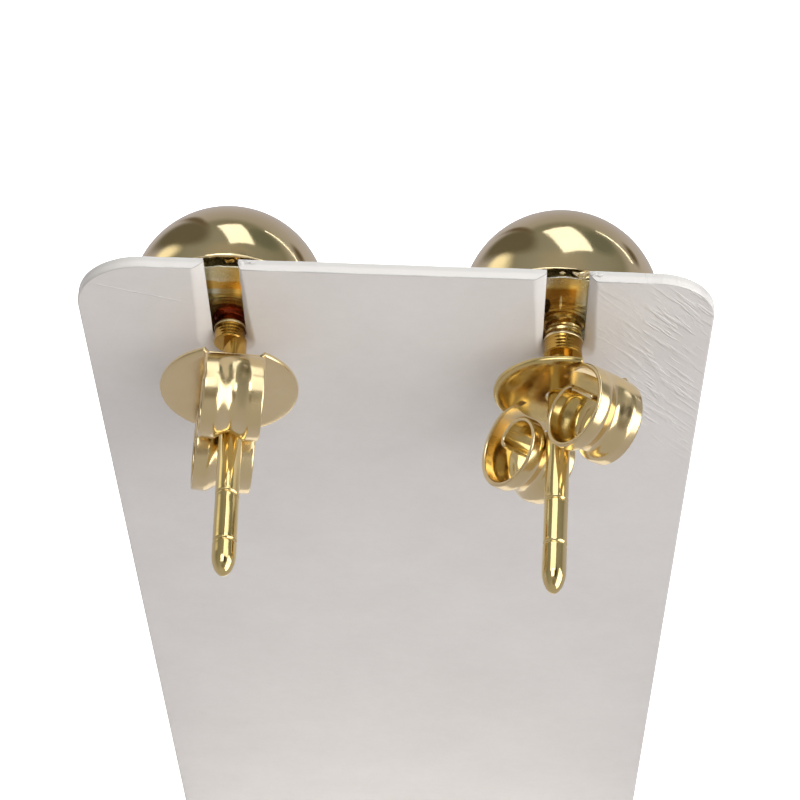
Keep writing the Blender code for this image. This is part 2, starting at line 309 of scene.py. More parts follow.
def upper_corner(side, inset):
    """Points round one upper corner of the card, the right one upwards and the left one downwards."""
    radius = CORNER_RADIUS[side]
    reach = radius - inset
    middle = SHEET_WIDTH / 2 - radius
    points = []
    for step in range(15):
        angle = math.pi / 2 * step / 14
        if side == "right":
            points.append((middle + reach * math.cos(angle), -radius + reach * math.sin(angle)))
        else:
            points.append((-middle - reach * math.sin(angle), -radius + reach * math.cos(angle)))
    return points


def card_outline(lip, inset):
    """The card's upper outline from its right side over the top to its left side."""
    half = SHEET_WIDTH / 2 - inset
    outline = [(half, -9.0), (half, -6.0)] + upper_corner("right", inset)
    for side in ("right", "left"):
        slot = slot_edge(side, lip, inset)
        outline += top_edge(outline[-1][0], slot[0][0], 10, inset)
        outline += slot
    corner = upper_corner("left", inset)
    outline += top_edge(outline[-1][0], corner[0][0], 10, inset)
    return outline + corner + [(-half, -6.0), (-half, -9.0)]


def lower_rows(inset):
    """Rows below the slots as (row, half width), from the card down to the foot's end."""
    half = SHEET_WIDTH / 2 - inset
    rows = [(("card", -9.0 - step * 4.0), half) for step in range(1, 12)]
    sweep = math.pi / 2 + CARD_LEAN
    rows += [(("fold", sweep * step / 16), half) for step in range(17)]
    end = FOOT_LENGTH - inset
    rows += [(("foot", (FOOT_LENGTH - FOOT_CORNER) * step / 6), half) for step in range(1, 7)]
    for step in range(1, 13):
        angle = math.pi / 2 * step / 12
        reach = FOOT_CORNER - inset
        row = ("foot", end - reach + reach * math.sin(angle))
        rows.append((row, half - reach + reach * math.cos(angle)))
    return rows


# Crumbs of plastic left where the slots were cut: places in the card's frame and sizes
BURRS = (
    ((-5.86, 0.02, -0.30), (0.13, 0.07, 0.10)),
    ((-5.66, 0.03, -0.36), (0.16, 0.05, 0.07)),
    ((-5.42, 0.02, -0.33), (0.12, 0.04, 0.06)),
    ((7.72, 0.03, -0.33), (0.16, 0.06, 0.09)),
    ((7.93, 0.03, -0.27), (0.11, 0.08, 0.08)),
    ((7.60, 0.01, -0.40), (0.10, 0.05, 0.06)),
)


def crumb(place, size, rows=9, columns=14):
    """A small uneven lump as points and faces."""
    points = []
    for row in range(rows):
        polar = math.pi * row / (rows - 1)
        for column in range(columns):
            angle = math.tau * column / columns
            uneven = 1.0 + 0.22 * math.sin(3.0 * angle + 9.0 * place[0]) * math.sin(2.0 * polar + place[0])
            ring = math.sin(polar) * uneven
            points.append(
                (
                    place[0] + size[0] * ring * math.cos(angle),
                    place[1] + size[1] * ring * math.sin(angle),
                    place[2] + size[2] * math.cos(polar) * uneven,
                )
            )
    return points, grid_faces(rows, columns)


def build_stand(materials):
    # From the card's back to its front: depth, share of the slots' lips, and inset of the outline
    levels = [
        (0.0, 1.0, 0.10),
        (0.0, 1.0, 0.05),
        (-0.012, 0.95, 0.022),
        (-0.045, 0.82, 0.004),
        (-0.12, 0.56, 0.0),
        (-0.20, 0.30, 0.0),
        (-0.28, 0.10, 0.0),
        (-0.34, 0.0, 0.0),
        (-0.44, 0.0, 0.0),
        (-0.48, 0.0, 0.012),
        (-0.5, 0.0, 0.045),
        (-0.5, 0.0, 0.09),
    ]
    loops = []
    for depth, lip, inset in levels:
        upper = [card_place(x, ("card", y), depth) for x, y in card_outline(lip, inset)]
        rows = lower_rows(inset)
        left = [card_place(-half, row, depth) for row, half in rows]
        right = [card_place(half, row, depth) for row, half in reversed(rows)]
        loops.append(upper + left + right)
    count = len(loops[0])
    upper_count = len(card_outline(0.0, 0.0))
    row_count = len(lower_rows(0.0))
    points = [point for loop in loops for point in loop]
    faces = grid_faces(len(levels), count)
    for first, flip in ((0, False), ((len(levels) - 1) * count, True)):
        caps = [tuple(range(upper_count))]
        left = upper_count - 1
        right = 0
        for step in range(row_count):
            next_left = upper_count + step
            next_right = count - 1 - step
            caps.append((left, next_left, next_right, right))
            left, right = next_left, next_right
        for cap in caps:
            cap = tuple(first + index for index in cap)
            faces.append(cap[::-1] if flip else cap)
    shell = Shell()
    shell.add(card_frame(), points, faces, 0)
    for place, size in BURRS:
        shell.add(card_frame(), *crumb(place, size), 0)
    stand = shell.build("white_stand", "stand", "display_stand", materials)
    stand.data.set_sharp_from_angle(angle=math.radians(32.0))


# Studs

def dome_skin(side):
    """The dome's outside, its rim, the seam round the back plate and the plate, from the middle out."""
    profile = [(0.0, 0.0), (0.5, 0.0)]
    for step in range(60):
        radius = 0.6 + 0.02 * step
        rise = sum(size * bell(radius, place, 0.05) for place, size in PLATE_RINGS[side])
        profile.append((radius, rise))
    profile.append((2.2, 0.0))
    draw = SKIRT_DRAW[side]
    corners = fillet(
        [
            (2.2, 0.0),
            (PLATE_RADIUS, 0.0),
            (PLATE_RADIUS + 0.05, -SEAM_DEPTH),
            (RIM_RADIUS - draw - 0.05, -SEAM_DEPTH),
            (RIM_RADIUS - draw, -0.03),
            (DOME_RADIUS - draw, -0.01),
            (DOME_RADIUS - draw * 0.5, -0.2),
        ],
        0.05,
        6,
    )
    profile += corners[1:-1]
    for step in range(1, 9):
        share = 1 - step / 9
        profile.append((DOME_RADIUS - draw * share * share, -DOME_SKIRT * (1 - share)))
    for step in range(73):
        angle = math.pi / 2 * step / 72
        profile.append((DOME_RADIUS * math.cos(angle), -DOME_SKIRT - DOME_RADIUS * math.sin(angle)))
    return profile


def ragged(angle, seed, waves=(5, 9, 14, 23, 37, 58, 91)):
    """A repeatable uneven value between about -1 and 1 round a circle."""
    total = 0.0
    for index, wave in enumerate(waves):
        total += math.sin(wave * angle + seed * (1.7 + index) + index * index) / (1.0 + 0.35 * index)
    return total / 2.6


def dome_shape(side):
    """Small unevenness of the ball, and the torn edges of the soldered seam."""
    seed = 1.3 if side == "left" else 4.1

    def shape(radius, height, angle):
        if height > -DOME_SKIRT and radius < DOME_RADIUS - 0.06:
            near = bell(radius, SEAM_PLACE, 0.3)
            torn = 0.10 * ragged(angle, seed) * near
            level = 0.05 * ragged(angle, seed + 2.0) * near if height < -0.02 else 0.0
            flat = 0.004 * math.sin(2.0 * angle + seed) * math.sin(radius * 1.9)
            flat += 0.003 * math.sin(5.0 * angle + 2.0 * radius) * math.sin(radius * 3.1)
            return radius + torn, height + level + flat
        place = Vector((radius * math.cos(angle), radius * math.sin(angle), height))
        depth, spread, middle = DOME_DENT[side]
        shift = depth * math.exp(-((place - Vector(middle)).length_squared) / (2.0 * spread ** 2))
        fall = min(0.0, height + DOME_SKIRT) / DOME_RADIUS
        return radius - shift * radius / DOME_RADIUS, height - shift * fall

    return shape


def collar_skin(side):
    """Collar from its end face down to the solder fillet on the plate."""
    radius = COLLAR_RADIUS[side]
    start = COLLAR_START[side]
    end = COLLAR_END[side]
    neck = radius - 0.03
    profile = [(0.0, end), (0.3, end), (radius - 0.05, end), (radius, end - 0.05)]
    for step in range(1, 24):
        share = step / 24
        height = end - 0.05 + (start - end + 0.17) * share
        ripple = 0.004 * math.cos(math.tau * 4.0 * share)
        profile.append((radius - 0.012 * math.sin(math.pi * share) + ripple - 0.004, height))
    profile += [(radius, start + 0.10), (radius + 0.02, start + 0.07), (radius + 0.025, start + 0.03)]
    profile += [(radius + 0.02, start - 0.01), (neck, start - 0.05)]
    height = start - 0.08
    while height > 0.14:
        bump = sum(0.03 * bell(height, ring, 0.06) for ring in NECK_RINGS[side])
        profile.append((neck - 0.03 + bump, height))
        height -= 0.02
    profile += [(neck - 0.02, 0.12), (neck + 0.02, 0.07), (neck + 0.07, 0.025), (neck + 0.16, -0.01)]
    profile.append((neck + 0.22, -0.06))
    return fillet(profile, 0.03, 3)


def collar_shape(side):
    """Ripples of the collar, stronger low down and on the right stud."""
    seed = 0.7 if side == "left" else 2.9
    rough = 1.0 if side == "right" else 0.25

    def shape(radius, height, angle):
        uneven = 0.014 * math.sin(3.0 * angle + 7.0 * height + seed)
        uneven += 0.009 * math.sin(7.0 * angle - 15.0 * height + seed)
        low = smooth_step(COLLAR_START[side] + 0.25 - height, 0.0, 0.5)
        return radius + uneven * rough * (0.25 + 0.75 * low) * min(1.0, radius / 0.3), height

    return shape


def post_skin(side):
    """Post from its tip down to its root inside the collar."""
    end = POST_LENGTH[side]
    profile = [(0.0, end)]
    for step in range(1, 33):
        depth = (step / 32) ** 1.8
        radius = POST_RADIUS * (1.0 - (1.0 - depth) ** 2) ** TIP_FULLNESS[side]
        profile.append((radius, end - TIP_LENGTH[side] * depth))
    root = COLLAR_END[side] - 0.1
    height = end - TIP_LENGTH[side]
    while height > root:
        near = min(abs(height - groove) for groove in GROOVES[side])
        height -= 0.016 if near < 0.16 else 0.08
        cut = sum(bell(height, groove, 0.045) for groove in GROOVES[side])
        lip = sum(bell(height, groove, 0.1) for groove in GROOVES[side])
        profile.append((POST_RADIUS - 0.05 * cut + 0.012 * lip, height))
    return profile


def post_shape(side):
    """The grooves run a little aslant and the rod is not perfectly even."""
    turns = GROOVE_TURN[side]

    def shape(radius, height, angle):
        up = height
        for groove, tilt, turn in zip(GROOVES[side], GROOVE_TILT[side], turns):
            near = bell(height, groove, 0.35)
            up += near * tilt * math.sin(angle + turn)
            up += near * 0.012 * math.sin(5.0 * angle + 3.0 * turn)
        out = radius
        if radius > 0.3:
            out += 0.0022 * math.sin(3.1 * height + 2.0 * math.cos(angle + turns[0]))
            out += 0.0014 * math.sin(2.0 * angle + 1.3 * height)
        return out, up

    return shape


def add_turned(shell, placed, profile, steps, shape, kind):
    """Adds a turned skin, where kind gives a band's material from its middle radius and height."""
    kinds = []
    for (radius, height), (next_radius, next_height) in zip(profile, profile[1:]):
        kinds += [kind((radius + next_radius) / 2, (height + next_height) / 2)] * steps
    shell.add(placed, *revolve(profile, steps, shape), kinds)


def build_stud(side, materials):
    placed = post_frame(side)
    dome_placed = placed @ Matrix.Translation((DOME_SHIFT[side], 0.0, 0.0))
    collar_placed = placed @ Matrix.Translation((COLLAR_SHIFT[side], 0.0, 0.0))

    def dome_kind(radius, height):
        if -SEAM_DEPTH - 0.05 < height < -0.07 and radius < RIM_RADIUS:
            return SOLDER
        return PLATE if height > -0.1 and radius < PLATE_RADIUS + 0.02 else POLISHED

    def collar_kind(radius, height):
        level = height - COLLAR_START[side]
        return NECK if level < -0.04 else SATIN if level < 0.09 else COLLAR

    def post_kind(radius, height):
        # The post's root takes the collar's painted shade and reflection
        return COLLAR if height < COLLAR_END[side] + COLLAR_SHADE_LENGTH else POST

    shell = Shell()
    add_turned(shell, dome_placed, dome_skin(side), DOME_STEPS, dome_shape(side), dome_kind)
    for place, size in SEAM_DROPS[side]:
        shell.add(dome_placed, *crumb(place, size, 17, 28), COLLAR if side == "left" else POLISHED)
    add_turned(shell, collar_placed, collar_skin(side), COLLAR_STEPS, collar_shape(side), collar_kind)
    add_turned(shell, placed, post_skin(side), POST_STEPS, post_shape(side), post_kind)
    shell.build(f"{side}_dome_stud", "stand", f"{side}_stud", materials)


# Clutches

def disc_outline(width):
    """Distance from the centre to the disc's edge, angle by angle, with a flat under each arm."""
    outline = []
    for step in range(DISC_STEPS):
        angle = math.tau * step / DISC_STEPS
        reach = DISC_RADIUS
        if abs(math.sin(angle)) * DISC_RADIUS < width / 2:
            reach = min(DISC_RADIUS, CHORD / abs(math.cos(angle)))
        outline.append((angle, reach))
    return outline


def disc_skin(width):
    """The flat disc with rounded edges and its centre hole, as rows of points from bottom to bottom."""
    top = DISC_THICKNESS
    edge = 0.09
    hole = 0.05
    rows = [("hole", hole * across, hole * up) for across, up in quarter(4)]
    rows += [("hole", hole * across, top - hole * up) for up, across in quarter(4)]
    rows += [("mix", share, top) for share in (0.06, 0.2, 0.4, 0.6, 0.8, 0.84, 0.88, 0.92)]
    rows += [("edge", edge * across, top - edge * up) for across, up in quarter(6)]
    rows += [("edge", edge * across, edge * up) for up, across in quarter(6)]
    rows += [("mix", share, 0.0) for share in (0.92, 0.6, 0.2, 0.06)]
    outline = disc_outline(width)
    points = []
    for kind, value, height in rows:
        for angle, reach in outline:
            if kind == "hole":
                radius = HOLE_RADIUS + value
            elif kind == "edge":
                radius = reach - value
            else:
                radius = HOLE_RADIUS + (reach - HOLE_RADIUS) * value
            share = (radius - HOLE_RADIUS) / (DISC_RADIUS - HOLE_RADIUS)
            dish = 0.012 * math.sin(2.0 * angle + 0.5) * share * share
            dish -= 0.035 * smooth_step(share, 0.84, 1.0)
            points.append((radius * math.cos(angle), radius * math.sin(angle), height + dish))
    faces = grid_faces(len(rows), DISC_STEPS)
    last = (len(rows) - 1) * DISC_STEPS
    for step in range(DISC_STEPS):
        beside = (step + 1) % DISC_STEPS
        faces.append((last + step, step, beside, last + beside))
    return points, faces


def arm_section(width, inset):
    """The strip's cross-section as (across, skin) pairs with rounded edges, its outer face first."""
    half = width / 2 - inset
    edge = 0.075
    flat = half - edge
    low, high = inset, ARM_THICKNESS - inset
    bend = min(edge, (high - low) / 2)
    section = []
    for sign, near, far, lift in ((1.0, low, high, bend), (-1.0, high, low, -bend)):
        for step in range(FACE_STEPS):
            section.append((sign * flat * (2.0 * step / (FACE_STEPS - 1) - 1.0), near))
        rounding = [math.pi / 2 * step / (EDGE_STEPS + 1) for step in range(1, EDGE_STEPS + 1)]
        for angle in rounding:
            section.append((sign * (flat + edge * math.sin(angle)), near + lift * (1 - math.cos(angle))))
        section.append((sign * half, (low + high) / 2))
        for angle in reversed(rounding):
            section.append((sign * (flat + edge * math.sin(angle)), far - lift * (1 - math.cos(angle))))
    return section


def arm_path(roll):
    """Places, headings and channel depths along the strip's outer side."""
    centre_out, centre_up, first, last, turn, late, free_end = roll
    centre_up += DISC_THICKNESS + ARM_LIFT
    path = [((ARM_ROOT, centre_up - first), 0.0, 0.0)]
    for step in range(ROLL_STEPS + 1):
        share = step / ROLL_STEPS
        angle = turn * share
        radius = last + (first - last) * (1.0 - share) ** late
        fade = min(max((share - 0.10) / 0.14, 0.0), 1.0) * min((1.0 - share) / 0.12, 1.0)
        place = (centre_out + radius * math.sin(angle), centre_up - radius * math.cos(angle))
        path.append((place, angle, CHANNEL_DEPTH * smooth_step(fade, 0.0, 1.0)))
    for length, bend in free_end:
        for _ in range(10):
            (out, up), heading, _ = path[-1]
            heading += bend / 20
            out += length / 10 * math.cos(heading)
            up += length / 10 * math.sin(heading)
            path.append(((out, up), heading + bend / 20, 0.0))
    return path


def arm_skin(roll, width, outward):
    """One arm: the strip along its path, with a shallow channel and a rounded free end."""
    path = [(*step, 0.0) for step in arm_path(roll)]
    (out, up), heading, _, _ = path[-1]
    edge = 0.08
    for behind, inset in quarter(5)[1:]:
        ahead = edge * (1 - behind)
        place = (out + ahead * math.cos(heading), up + ahead * math.sin(heading))
        path.append((place, heading, 0.0, edge * inset))
    points = []
    for place, heading, depth, inset in path:
        for across, skin in arm_section(width, inset):
            press = skin + 0.035 * (2.0 * across / width) ** 2
            if abs(across) < CHANNEL_HALF:
                press += depth * 0.5 * (1.0 + math.cos(math.pi * across / CHANNEL_HALF))
            out = place[0] - math.sin(heading) * press
            up = place[1] + math.cos(heading) * press
            points.append((outward * out, outward * across, up))
    count = len(arm_section(width, 0.0))
    faces = grid_faces(len(path), count, flip=True)
    first_inner = FACE_STEPS + 2 * EDGE_STEPS + 1
    inner = range(first_inner, first_inner + FACE_STEPS)
    root_rows = 21
    kinds = []
    for row in range(len(path) - 1):
        # Inner sides of the rolls take the deeper roll gold, painted shade
        kinds += [ROLL if step in inner and row >= root_rows else CLUTCH for step in range(count)]
    faces.append(tuple(range(count)))
    last = (len(path) - 1) * count
    faces.append(tuple(last + step for step in reversed(range(count))))
    return points, faces, kinds + [CLUTCH, CLUTCH]


def build_clutch(side, materials):
    placed = post_frame(side) @ Matrix.Translation((DISC_SHIFT[side], 0.0, DISC_HEIGHT[side]))
    placed = placed @ Matrix.Rotation(CLUTCH_TURN[side], 4, "Z")
    shell = Shell()
    # The right disc takes the deeper roll gold, painted shade and reflections from the rolls round it
    shell.add(placed, *disc_skin(ARM_WIDTH[side]), ROLL if side == "right" else CLUTCH)
    for roll, outward in zip(ROLLS[side], (1.0, -1.0)):
        shell.add(placed, *arm_skin(roll, ARM_WIDTH[side], outward))
    shell.build(f"{side}_rolled_clutch", f"{side}_clutch_body", f"{side}_clutch", materials)


# Painted shade and reflections on the neck between collar and plate: reddish brown on the left, amber on the
# right
NECK_SHADE_TONES = {
    "left": [(0.30, (0.14, 0.016, 0.005)), (0.55, (0.30, 0.050, 0.018)), (0.75, (0.58, 0.24, 0.07))],
    "right": [(0.30, (0.26, 0.12, 0.02)), (0.52, (0.58, 0.38, 0.10)), (0.70, (0.95, 0.84, 0.50))],
}

# Tones of the solder round the back plates
SOLDER_TONES = [(0.35, (0.05, 0.035, 0.012)), (0.56, (0.20, 0.15, 0.05)), (0.74, (0.75, 0.62, 0.30))]

# Painted reflections on the back plates, as bands with a bright bar: millimetres up from the card's top edge
# and the tone there
PLATE_REFLECTION_BANDS = {
    "left": [
        (-5.2, (0.34, 0.18, 0.06)),
        (-3.85, (0.42, 0.30, 0.10)),
        (-3.76, (0.60, 0.54, 0.26)),
        (-3.50, (0.56, 0.48, 0.22)),
        (-3.42, (0.80, 0.80, 0.64)),
        (-3.18, (0.78, 0.76, 0.58)),
        (-3.08, (0.85, 0.56, 0.14)),
        (-2.66, (0.88, 0.62, 0.18)),
        (-2.58, (1.0, 0.98, 0.80)),
        (-2.44, (1.0, 0.98, 0.80)),
        (-2.36, (0.92, 0.92, 0.68)),
        (-1.2, (1.0, 1.0, 0.90)),
    ],
    "right": [
        (-5.2, (0.44, 0.24, 0.07)),
        (-3.9, (0.62, 0.38, 0.12)),
        (-3.7, (0.72, 0.52, 0.20)),
        (-3.2, (0.45, 0.26, 0.06)),
        (-2.2, (0.50, 0.30, 0.07)),
        (-2.06, (0.85, 0.80, 0.50)),
        (-1.92, (0.96, 0.92, 0.66)),
        (-1.84, (0.84, 0.82, 0.72)),
        (-1.2, (0.88, 0.88, 0.80)),
    ],
}

# Ends of the long scratch, in millimetres across and up the card
LONG_SCRATCH = ((-11.7, -1.34), (-8.1, -2.39))

# Painted highlight and painted shade on the back plates: middle and half size in millimetres across and up,
# and tone
PLATE_GLINT_AND_SHADE = {
    "left": [],
    "right": [
        ((6.54, -3.12), (0.055, 0.60), (1.0, 0.98, 0.84)),
        ((5.96, -3.30), (0.20, 0.50), (0.06, 0.03, 0.01)),
    ],
}


# Materials

class Paint:
    """Adds nodes to one node tree; a value is a constant or another node's output."""

    def __init__(self, tree):
        self.nodes = tree.nodes
        self.links = tree.links

    def feed(self, node, values):
        for place, value in values.items():
            if isinstance(value, bpy.types.NodeSocket):
                self.links.new(value, node.inputs[place])
            else:
                node.inputs[place].default_value = value

    def where(self, kind="Object"):
        return self.nodes.new("ShaderNodeTexCoord").outputs[kind]

    def calculate(self, operation, *values):
        node = self.nodes.new("ShaderNodeMath")
        node.operation = operation
        self.feed(node, dict(enumerate(values)))
        return node.outputs["Value"]

    def product(self, *factors):
        result = factors[0]
        for factor in factors[1:]:
            result = self.calculate("MULTIPLY", result, factor)
        return result

    def vector(self, parts):
        node = self.nodes.new("ShaderNodeCombineXYZ")
        self.feed(node, dict(enumerate(parts)))
        return node.outputs["Vector"]

    def along(self, where, axis):
        node = self.nodes.new("ShaderNodeVectorMath")
        node.operation = "DOT_PRODUCT"
        self.feed(node, {0: where, 1: axis})
        return node.outputs["Value"]

    def length(self, *parts):
        node = self.nodes.new("ShaderNodeVectorMath")
        node.operation = "LENGTH"
        self.feed(node, {0: self.vector(parts)})
        return node.outputs["Value"]

    def span(self, value, low, high, to_low=0.0, to_high=1.0, kind="LINEAR"):
        """The value moved from the first span to the second and held within it."""
        node = self.nodes.new("ShaderNodeMapRange")
        node.interpolation_type = kind
        spans = {"From Min": low, "From Max": high, "To Min": to_low, "To Max": to_high}
        self.feed(node, {"Value": value, **spans})
        return node.outputs["Result"]

    def noise(self, where, scale, detail, roughness, stretch=None):
        """Cloudy values; stretch gives cells per unit along three axes, and the axes' turn."""
        if stretch:
            cells, turn = stretch
            mapping = self.nodes.new("ShaderNodeMapping")
            mapping.vector_type = "TEXTURE"
            size = [1.0 / value for value in cells]
            self.feed(mapping, {"Vector": where, "Scale": size, "Rotation": turn})
            where = mapping.outputs["Vector"]
        node = self.nodes.new("ShaderNodeTexNoise")
        self.feed(node, {"Vector": where, "Scale": scale, "Detail": detail, "Roughness": roughness})
        return node.outputs["Fac"]

    def ramp(self, value, stops):
        node = self.nodes.new("ShaderNodeValToRGB")
        first, last = node.color_ramp.elements
        first.position = stops[0][0]
        first.color = (*stops[0][1], 1.0)
        last.position = stops[-1][0]
        last.color = (*stops[-1][1], 1.0)
        for place, colour in stops[1:-1]:
            node.color_ramp.elements.new(place).color = (*colour, 1.0)
        self.feed(node, {"Fac": value})
        return node.outputs["Color"]

    def mix(self, share, under, colour):
        node = self.nodes.new("ShaderNodeMix")
        node.data_type = "RGBA"
        self.feed(node, {"Factor": share, "A": under, "B": (*colour, 1.0)})
        return node.outputs["Result"]

    def bump(self, height, strength, distance, below=None):
        node = self.nodes.new("ShaderNodeBump")
        self.feed(node, {"Height": height, "Strength": strength, "Distance": distance})
        if below is not None:
            self.feed(node, {"Normal": below})
        return node.outputs["Normal"]


def new_material(name):
    material = bpy.data.materials.new(name)
    material.use_nodes = True
    tree = material.node_tree
    return material, Paint(tree), tree.nodes["Principled BSDF"]


def gold_material(name, dark, bright, roughness, wear):
    """Polished gold: faint uneven tone, fine polishing lines and soft handling marks."""
    material, paint, shader = new_material(name)
    where = paint.where()
    tone = paint.noise(where, 260.0, 4.0, 0.6)
    marks = paint.noise(where, 2200.0, 3.0, 0.65)
    lines = paint.noise(where, 1.0, 2.0, 0.6, ((9000.0, 9000.0, 700.0), (0.3, 0.2, 0.4)))
    fine = paint.bump(lines, 0.10, 0.00001)
    finish = {
        "Base Color": paint.ramp(tone, [(0.30, dark), (0.72, bright)]),
        "Roughness": paint.span(marks, 0.35, 0.75, roughness, roughness + wear),
        "Normal": paint.bump(paint.noise(where, 900.0, 2.0, 0.5), 0.10, 0.00003, fine),
        "Metallic": 1.0,
    }
    paint.feed(shader, finish)
    return material


def melted_material(name, grain, tones, roughness, relief, metallic):
    """Melted solder, or the neck's painted shade and reflections, where one grain gives the tone, the shine
    and the lumps.
    """
    material, paint, shader = new_material(name)
    tone = paint.noise(paint.where(), *grain)
    finish = {
        "Base Color": paint.ramp(tone, tones),
        "Roughness": paint.span(tone, 0.3, 0.8, *roughness),
        "Normal": paint.bump(tone, *relief),
        "Metallic": metallic,
    }
    paint.feed(shader, finish)
    return material


def card_parts(paint, where):
    """Distances in millimetres across, up and behind the card's top middle."""
    placed = card_frame()
    turn = placed.to_3x3()
    reach = 60.0
    parts = []
    for column in range(3):
        axis = turn.col[column]
        middle = axis.dot(placed.translation) * MM
        low = middle - reach * MM
        high = middle + reach * MM
        parts.append(paint.span(paint.along(where, axis), low, high, -reach, reach))
    return parts


def plate_material(side):
    """Back plate seen through the slot: painted reflections as bands of bright, amber and dull gold down the
    card.
    """
    material, paint, shader = new_material(f"{side}_plate_reflection_gold")
    where = paint.where()
    across, up, _ = card_parts(paint, where)
    uneven = paint.noise(where, 900.0, 3.0, 0.6)
    up = paint.calculate("ADD", up, paint.span(uneven, 0.3, 0.7, -0.10, 0.10))
    low, high = -5.2, -1.2
    stops = [((level - low) / (high - low), tone) for level, tone in PLATE_REFLECTION_BANDS[side]]
    tone = paint.ramp(paint.span(up, low, high), stops)
    if side == "right":
        # Painted reflection: a pale strip along the right plate's right side
        tone = paint.mix(paint.span(across, 7.08, 7.20), tone, (0.94, 0.90, 0.64))
    # A bright painted glint and a dark painted shade spot on the right plate
    for middle, half, colour in PLATE_GLINT_AND_SHADE[side]:
        reach = []
        for value, centre, size in zip((across, up), middle, half):
            reach.append(paint.span(value, centre - size, centre + size, -1.0, 1.0))
        tone = paint.mix(paint.span(paint.length(*reach), 0.8, 1.0, 1.0, 0.0), tone, colour)
    finish = {
        "Base Color": tone,
        "Roughness": paint.span(uneven, 0.3, 0.8, 0.20, 0.34),
        "Normal": paint.bump(uneven, 0.2, 0.00004),
        "Metallic": 1.0,
    }
    paint.feed(shader, finish)
    return material


def cut_edge_mask(paint, across, up):
    """1 on the cut edge along the card's top and round its two upper corners, where shade is painted."""
    reach = 10.0
    masks = []
    for side, sign in (("left", -1.0), ("right", 1.0)):
        radius = CORNER_RADIUS[side]
        straight = sign * (SHEET_WIDTH / 2.0 - radius)
        beside = paint.span(across, straight, straight + sign * reach, 0.0, reach)
        above = paint.span(up, -radius, reach - radius, 0.0, reach)
        edge = paint.span(paint.length(beside, above), radius - 0.09, radius - 0.05)
        masks.append(paint.product(edge, paint.span(up, -radius, -0.4 * radius)))
    return paint.calculate("MAXIMUM", *masks)


def scratch_mask(paint, across, up, uneven):
    """One long shallow scratch near the card's left upper corner, thinning out to both ends."""
    start, end = LONG_SCRATCH
    slope = (end[1] - start[1]) / (end[0] - start[0])
    level = start[1] - slope * start[0]
    line = paint.calculate("MULTIPLY_ADD", across, -slope, up)
    line = paint.calculate("ADD", line, paint.span(uneven, 0.3, 0.7, -0.06, 0.06))
    return paint.product(
        paint.span(line, level - 0.02, level),
        paint.span(line, level, level + 0.06, 1.0, 0.0),
        paint.span(across, start[0], start[0] + 0.5),
        paint.span(across, end[0] - 0.5, end[0], 1.0, 0.0),
    )


def plastic_material():
    """White sheet plastic with a faint grain, painted shade along its cut top edge and handling scratches.
    """
    material, paint, shader = new_material("white_sheet_plastic")
    parts = card_parts(paint, paint.where())
    across, up, depth = parts
    card = paint.vector(parts)
    tone = paint.noise(card, 0.14, 9.0, 0.78)
    colour = paint.ramp(tone, [(0.30, (0.735, 0.711, 0.700)), (0.70, (0.795, 0.776, 0.767))])
    # Painted shade: the cut top edge and its upper corners darkened, the front half more than the back
    edge_shade = paint.product(cut_edge_mask(paint, across, up), paint.span(depth, -0.32, -0.22, 1.0, 0.8))
    grain = paint.noise(card, 2.6, 3.0, 0.6)
    level_lines = paint.noise(card, 1.0, 3.0, 0.6, ((0.25, 4.2, 0.9), (0.0, 0.0, -0.04)))
    slanting = ((0.50, 3.6, 1.0), (0.0, 0.0, math.radians(-48.0)))
    scratches = paint.product(
        paint.span(paint.noise(card, 1.0, 3.0, 0.65, slanting), 0.50, 0.62),
        paint.span(across, 7.0, 10.0),
        paint.span(up, -15.0, -8.0),
        paint.span(paint.noise(card, 0.25, 2.0, 0.5), 0.35, 0.60),
    )
    normal = paint.bump(grain, 0.25, 0.00003)
    normal = paint.bump(level_lines, 0.25, 0.00005, normal)
    normal = paint.bump(scratches, 0.65, 0.00004, normal)
    finish = {
        "Base Color": paint.mix(edge_shade, colour, (0.46, 0.45, 0.44)),
        "Roughness": paint.span(grain, 0.3, 0.7, 0.42, 0.60),
        "Normal": paint.bump(scratch_mask(paint, across, up, tone), 0.9, 0.00006, normal),
        "IOR": 1.5,
    }
    paint.feed(shader, finish)
    return material


def floor_material():
    """A pale surface that gives off light of its own, so that it shows plain white."""
    material, paint, shader = new_material("pale_floor")
    tone = paint.noise(paint.where(), 3.0, 2.0, 0.5)
    finish = {
        "Base Color": paint.ramp(tone, [(0.3, (0.94, 0.94, 0.94)), (0.7, (0.95, 0.95, 0.95))]),
        "Roughness": 0.9,
        "Emission Color": (1.0, 1.0, 1.0, 1.0),
        "Emission Strength": 0.8,
    }
    paint.feed(shader, finish)
    return material


# Studio: floor, lights, surroundings and camera, in metres

FLOOR_HALF = 3.0
EARRINGS_MIDDLE = Vector((0.0, -0.004, 0.048))
REFLECTOR_PLACE = (-0.002, -0.0035, 0.067)
REFLECTOR_SIZE = (0.0165, 0.012)
Z_AXIS = Vector((0.0, 0.0, 1.0))


def build_floor():
    mesh = bpy.data.meshes.new("floor")
    low, high = -FLOOR_HALF, FLOOR_HALF
    corners = [(low, low, 0), (high, low, 0), (high, high, 0), (low, high, 0)]
    mesh.from_pydata(corners, [], [(0, 1, 2, 3)])
    mesh.materials.append(floor_material())
    floor = bpy.data.objects.new("floor", mesh)
    bpy.context.scene.collection.objects.link(floor)
    floor.visible_glossy = False
    floor.visible_diffuse = False


def direction(azimuth, elevation):
    """Azimuth 0 is towards -Y, in front of the domes, and 90 towards +X."""
    turn = math.radians(azimuth)
    rise = math.radians(elevation)
    return Vector((math.sin(turn) * math.cos(rise), -math.cos(turn) * math.cos(rise), math.sin(rise)))


def rectangle_light(name, width, height, brightness):
    light = bpy.data.lights.new(name, "AREA")
    light.shape = "RECTANGLE"
    light.size = width
    light.size_y = height
    light.energy = brightness * math.pi * light.size * light.size_y
    lamp = bpy.data.objects.new(name, light)
    bpy.context.scene.collection.objects.link(lamp)
    lamp.visible_camera = False
    return lamp


